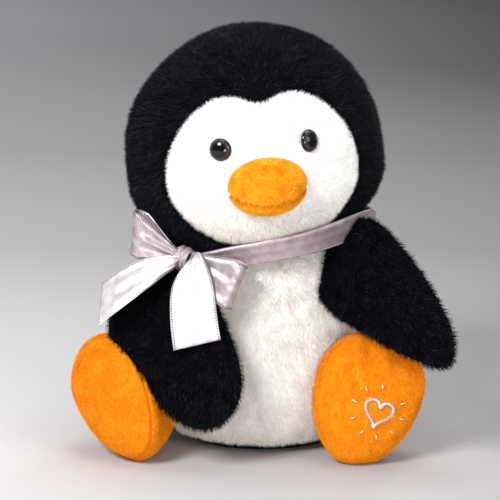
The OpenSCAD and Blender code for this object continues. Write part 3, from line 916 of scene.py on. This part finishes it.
def strip(name, path, side, half_width, pleats, phase=0.0, closed=False, folded=False, columns=15):
    """A ribbon along path. side is its width direction at each point and half_width its
    reach; pleats is the depth of folds across it. A folded ribbon is doubled lengthwise, and
    its fold is on the upper side. Returns the object, its edges, normals and length."""
    path, side = np.asarray(path, float), unit(side)
    count = len(path)
    ahead = np.roll(path, -1, 0) - np.roll(path, 1, 0) if closed else np.gradient(path, axis=0)
    normal = unit(np.cross(unit(ahead), side))
    across = np.linspace(-1, 1, columns)
    lift = 0 * across
    if folded:
        columns = 2 * columns
        turned = np.linspace(-math.pi, math.pi, columns)
        across = 1 - 2 * np.abs(turned) / math.pi
        lift = np.sign(turned) * 0.7 * np.minimum(1, np.abs(turned) * 2.5)
    half_width = np.broadcast_to(half_width, count)
    pleats = np.broadcast_to(pleats, count)
    rise = pleats[:, None] * np.cos(across * 2.5 * math.pi + phase) + lift
    points = (path[:, None] + side[:, None] * (half_width[:, None] * across)[..., None]
              + normal[:, None] * rise[..., None])
    faces = grid_faces(count, columns, False)
    if closed:
        last = (count - 1) * columns
        faces += [(last + c, last + c + 1, c + 1, c) for c in range(columns - 1)]
    obj = mesh_object(name, points.reshape(-1, 3), faces)
    layer = obj.data.uv_layers.new(name="along")
    steps = np.linalg.norm(np.diff(path, axis=0), axis=1)
    run = np.concatenate([[0], np.cumsum(steps)])
    for loop in obj.data.loops:
        i = loop.vertex_index
        layer.data[loop.index].uv = (run[i // columns], (i % columns) * RIBBON_W / (columns - 1))
    thicken(obj, RIBBON_T, offset=0)
    edges = [points[:, 1] * 0.6 + points[:, 0] * 0.4, points[:, -2] * 0.6 + points[:, -1] * 0.4]
    return obj, edges, normal, run[-1]


BEAD_PITCH, BEAD_LENGTH, BEAD_W, BEAD_H = 1.3, 0.96, 1.1, 0.45


def beading(name, paths, normals, material, closed):
    """A row of metallic stitches along each path, on both faces of the ribbon."""
    points, faces = [], []
    for path in paths:
        if closed:
            path = np.vstack([path, path[:1]])
        steps = np.linalg.norm(np.diff(path, axis=0), axis=1)
        run = np.concatenate([[0], np.cumsum(steps)])
        beads = np.arange(0.6, run[-1] - 0.4, BEAD_PITCH)
        spots = np.column_stack([np.interp(beads, run, path[:, k]) for k in range(3)])
        normal = np.vstack([normals, normals[:1]]) if closed else normals
        lifts = unit(np.column_stack([np.interp(beads, run, normal[:, k]) for k in range(3)]))
        heads = unit(np.gradient(spots, axis=0))
        for spot, lift, head in zip(spots, lifts, heads):
            long, wide = head * (BEAD_LENGTH / 2), np.cross(lift, head) * (BEAD_W / 2)
            for up in (-lift, lift):
                base = len(points)
                foot = spot + up * (RIBBON_T / 2 - 0.1)
                points += [foot - long, foot + wide, foot + long, foot - wide, foot + up * BEAD_H]
                faces += [(base + k, base + (k + 1) % 4, base + 4) for k in range(4)]
                faces.append((base + 3, base + 2, base + 1, base))
    return dress(mesh_object(name, points, faces), "torso", material)


def ribbon_piece(node, path, side, half_width, pleats, phase=0.0, closed=False,
                 satin=TAIL_SATIN_LIT):
    """A strip of ribbon with its two beaded hems. A closed one is also doubled lengthwise."""
    name = f"{node}_satin"
    side = np.broadcast_to(side, path.shape)
    obj, edges, normals, length = strip(name, path, side, half_width, pleats, phase, closed, closed)
    dress(obj, "torso", satin, [node])
    bead = THREAD if satin is BAND_SATIN_SHADOWED else HEM_THREAD
    thread = beading(f"{name}_thread", edges, normals, bead, closed)


KNOT = np.array([-39.5, -53.0, 102.5])


def make_band():
    """The ribbon round the neck, doubled lengthwise. It rides up on the left shoulder."""
    angle = np.linspace(0, 2 * math.pi, 160, endpoint=False)
    off = (angle - math.radians(-37) + math.pi) % (2 * math.pi) - math.pi
    gather = np.exp(-(off / 0.25) ** 2)
    radius = (60.9 - 6.0 * np.sin(angle) ** 4 - 3.5 * ((1 - np.cos(angle)) / 2) ** 3
              + 1.5 * gather + 0.3 * np.sin(5 * angle))
    x, y = 2.5 + radius * np.sin(angle), -radius * np.cos(angle)
    z = 107 + x * math.tan(math.radians(10)) + 0.4 * np.sin(4 * angle + 1)
    z = z + 1.2 * np.exp(-((angle - 0.8) / 0.4) ** 2)
    z = z - 8 * np.exp(-((angle - 1.6) / np.where(angle < 1.6, 0.35, 0.9)) ** 2)
    z = z + 4.5 * np.exp(-((angle - 4.5) / 0.5) ** 2)
    slant = math.radians(76)
    side = np.stack([np.sin(angle) * math.cos(slant), -np.cos(angle) * math.cos(slant),
                     np.full_like(angle, math.sin(slant))], -1)
    ribbon_piece("ribbon_band", np.stack([x, y, z], -1), side,
                 5.7 - 2.2 * gather + 1.3 * np.exp(-((angle - 0.75) / 0.5) ** 2),
                 0.12 + 0.5 * gather, 0.4, closed=True, satin=BAND_SATIN_SHADOWED)


def make_loop(node, start, direction, width_way, length, depth, phase, reach):
    """A teardrop loop from the knot out along direction and back. Its width runs along
    width_way, which need not be square to its direction."""
    direction, width_way = unit(direction), unit(width_way)
    across = unit(np.cross(direction, width_way))
    t = np.linspace(0, 1, 46)
    out = np.sin(math.pi * t) ** 0.8
    bulge = np.sin(2 * math.pi * t) * (0.25 + 0.75 * out)
    path = KNOT + start + np.outer(out * length, direction) + np.outer(bulge * depth / 2, across)
    spread = np.clip(np.sin(math.pi * t) * 1.35, 0, 1) ** 0.8
    half = 3.2 + (reach - 3.2) * spread
    pleats = 1.3 * (1 - spread) ** 1.2 + 0.3 * np.sin(math.pi * t)
    ribbon_piece(node, path, width_way, half, pleats, phase, satin=LOOP_SATIN_SHADED)


def make_tail(node, corners, width_ways, half_widths, pleats, phase, count=40):
    """A ribbon end that hangs from the knot along a curve through corners. The width's
    direction and reach are given at the same corners."""
    t = np.linspace(0, 1, count)
    at = np.linspace(0, 1, len(corners))

    def ease(values):
        """Values at the corners, smoothed to count of them along the tail."""
        values = np.asarray(values, float).reshape(len(corners), -1)
        rough = np.column_stack([np.interp(t, at, v) for v in values.T])
        for _ in range(10):
            rough[1:-1] = (rough[:-2] + 2 * rough[1:-1] + rough[2:]) / 4
        return rough

    folds = ease(pleats)[:, 0] * (1 + 0.25 * np.sin(5 * t + phase))
    ribbon_piece(node, ease(KNOT + corners), ease(width_ways), ease(half_widths)[:, 0], folds, phase)


def make_knot():
    """The short wrap of ribbon over the middle of the bow."""
    t = np.linspace(0, 2 * math.pi, 40, endpoint=False)
    across = unit([0.78, -0.6, -0.15])
    ahead = unit([-0.6, -0.78, 0.1])
    upward = unit(np.cross(ahead, across))
    upward = upward * np.sign(upward[2])
    wrap = np.outer(np.cos(t) * 3.6, ahead) + np.outer(np.sin(t) * 4.9, upward)
    ribbon_piece("ribbon_knot", KNOT + [0.6, 0.8, -0.8] + wrap, across, 4.1, 0.7, 0.8, closed=True,
                 satin=BAND_SATIN_SHADOWED)


def make_bow():
    make_band()
    make_loop("ribbon_loop_right", (-3, -1, 1), (-24, 10, 12), (0.10, 0.02, 1.0), 26, 11.5, 0.3, 10.8)
    make_loop("ribbon_loop_left", (4, -6, 1), (24, -11, -13), (0.38, 0.12, 0.92), 29, 10, 1.1, 11.8)
    make_tail("ribbon_tail_left",
              [(6.6, -5.5, 1.6), (6.4, -10.5, 2.2), (5, -15, -1), (4.6, -17, -8), (5, -20, -16),
               (5.8, -23, -28), (7.4, -25, -38.5)],
              [(0.5, 0.1, 0.8), (0.8, 0.1, 0.6), (0.95, 0, 0.35), (1, 0, 0.22), (1, 0, 0.15),
               (1, 0, 0.2), (1, 0, 0.24)],
              [2.4, 3.6, 6.6, 9.8, 11.2, 11.7, 11.9], [0.9, 0.9, 0.8, 0.6, 0.45, 0.25, 0.15], 0.2)
    make_tail("ribbon_tail_right",
              [(-3, -3, -2), (-12, -6, -5), (-22, -8, -9), (-32, -8, -15), (-41, -6, -22.5)],
              [(-0.5, -0.5, -0.8), (-0.35, -0.6, -0.8), (-0.2, -0.65, -0.75), (-0.08, -0.68, -0.72),
               (-0.05, -0.7, -0.7)],
              [3.6, 8.0, 11.5, 12.3, 12.4], [1.2, 0.9, 0.6, 0.4, 0.2], 2.1)
    make_knot()


def make_label():
    """A blank woven care label in the back's lower seam."""
    t = np.linspace(0, 1, 14)
    sewn_at = 26
    y = body_radius(sewn_at) - 1.5 + 13 * np.sin(t * 1.25)
    path = np.column_stack([0 * t, y, sewn_at - 9 * t ** 1.6])
    side = np.broadcast_to([1.0, 0, 0], path.shape)
    obj, _, _, length = strip("care_label_cloth", path, side, LABEL_W / 2, 0.15)
    dress(obj, "torso", LABEL, ["care_label"])


# ---------------------------------------------------------------- inner CAD pieces

def finish_inner_nodes():
    """Better materials for the CAD nodes that stay: pouch, pellets, washers, stuffing."""
    pouch = cloth("pouch_cloth", (0.72, 0.70, 0.64), (0.84, 0.82, 0.77), 1.2, rough=0.8, bump=0.3)
    pellets = cloth("pellet_plastic", (0.62, 0.60, 0.54), (0.78, 0.76, 0.70), 6, rough=0.35, bump=0.05)
    washer = cloth("washer_plastic", (0.70, 0.70, 0.67), (0.80, 0.80, 0.78), 4, rough=0.4, bump=0.05)
    for node, material in (("bean_pouch", pouch), ("bean_pellets", pellets), ("eye_washer_left", washer),
                           ("eye_washer_right", washer), ("body_stuffing", FILL_CLOTH)):
        for material_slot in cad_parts[node].material_slots:
            material_slot.material = material


# ---------------------------------------------------------------- studio

def make_floor():
    """A wide pale floor, which is also the backdrop. Its colour carries painted light: its grey changes
    away from the camera as painted fall-off of light, and it is painted lighter on the camera's left and
    darker on its right, as light from the left."""
    x = np.linspace(-4000, 4000, 3)
    rows = [np.column_stack([x, np.full(3, y), np.zeros(3)]) for y in (-4000, 0, 6000)]
    floor = mesh_object("studio_floor", np.concatenate(rows), grid_faces(len(rows), 3, False))
    paper, tree, bsdf = shader("studio_paper", Roughness=0.9)
    at = add(tree, "ShaderNodeTexCoord").outputs["Object"]
    spot = add(tree, "ShaderNodeSeparateXYZ", Vector=at).outputs
    # Painted light: the paper's grey changes with the distance from the camera.
    depth = add(tree, "ShaderNodeMapRange", From_Min=-0.1, From_Max=2.1, Value=spot["Y"])
    steps = [(0.0, 0.49), (0.119, 0.445), (0.25, 0.32), (0.453, 0.295), (0.968, 0.50)]
    # Painted light from the left: the grey is multiplied by 1.55 at the camera's left and 0.45 at its
    # right.
    painted_side_light = add(tree, "ShaderNodeMapRange", From_Min=-0.35, From_Max=0.35, To_Min=1.55,
                   To_Max=0.45, Value=spot["X"])
    mix = add(tree, "ShaderNodeMix", data_type="RGBA", blend_type="MULTIPLY", Factor=1.0)
    colour_a, colour_b, mixed = mix.inputs[6], mix.inputs[7], mix.outputs[2]
    tree.links.new(ramp(tree, depth.outputs["Result"], greys(steps, 0.97, 0.968)), colour_a)
    tree.links.new(painted_side_light.outputs["Result"], colour_b)
    feed(tree, bsdf, Base_Color=mixed)
    floor.data.materials.append(paper)


def make_light(name, at, aim_height, size, power):
    """A round soft light at a place in metres, aimed at a height over the origin."""
    lamp = configure(bpy.data.lights.new(name, "AREA"), shape="DISK", size=size, energy=power)
    way = Vector((0, 0, aim_height)) - Vector(at)
    configure(link(bpy.data.objects.new(name, lamp)), location=Vector(at),
              rotation_euler=way.to_track_quat("-Z", "Y").to_euler())


def make_studio():
    """The floor, soft lights, a dim sky and the camera."""
    make_floor()
    make_light("key", (-0.75, -0.95, 1.05), 0.10, 0.6, 24)
    make_light("fill", (0.95, -0.9, 0.55), 0.10, 0.8, 6)
    make_light("top", (0.1, 0.15, 1.3), 0.1, 0.8, 8)
    make_light("rim", (0.5, 0.9, 0.7), 0.12, 0.5, 4)
    make_light("low", (0.1, -1.1, 0.10), 0.03, 0.35, 4)
    scene = bpy.context.scene
    scene.view_settings.view_transform = "Standard"
    scene.world = bpy.data.worlds.new("studio")
    scene.world.use_nodes = True
    sky = scene.world.node_tree
    feed(sky, sky.nodes["Background"], Color=(0.9, 0.92, 1.0, 1), Strength=0.28)

    lens = configure(bpy.data.cameras.new("camera"), sensor_width=36, lens=159.2, clip_end=20)
    elevation, distance = math.radians(12), 1.15
    away = Vector((0, -math.cos(elevation), math.sin(elevation)))
    scene.camera = configure(link(bpy.data.objects.new("camera", lens)),
                             location=Vector((-0.0062, -0.0030, 0.0957)) + away * distance,
                             rotation_euler=(-away).to_track_quat("-Z", "Y").to_euler())


make_studio()
make_head()
make_eye("eye_left_dome", 1)
make_eye("eye_right_dome", -1)
make_beak()
make_body()
for limb_side in ("left", "right"):
    make_flipper(limb_side)
    make_foot(limb_side)
make_bow()
make_label()
finish_inner_nodes()
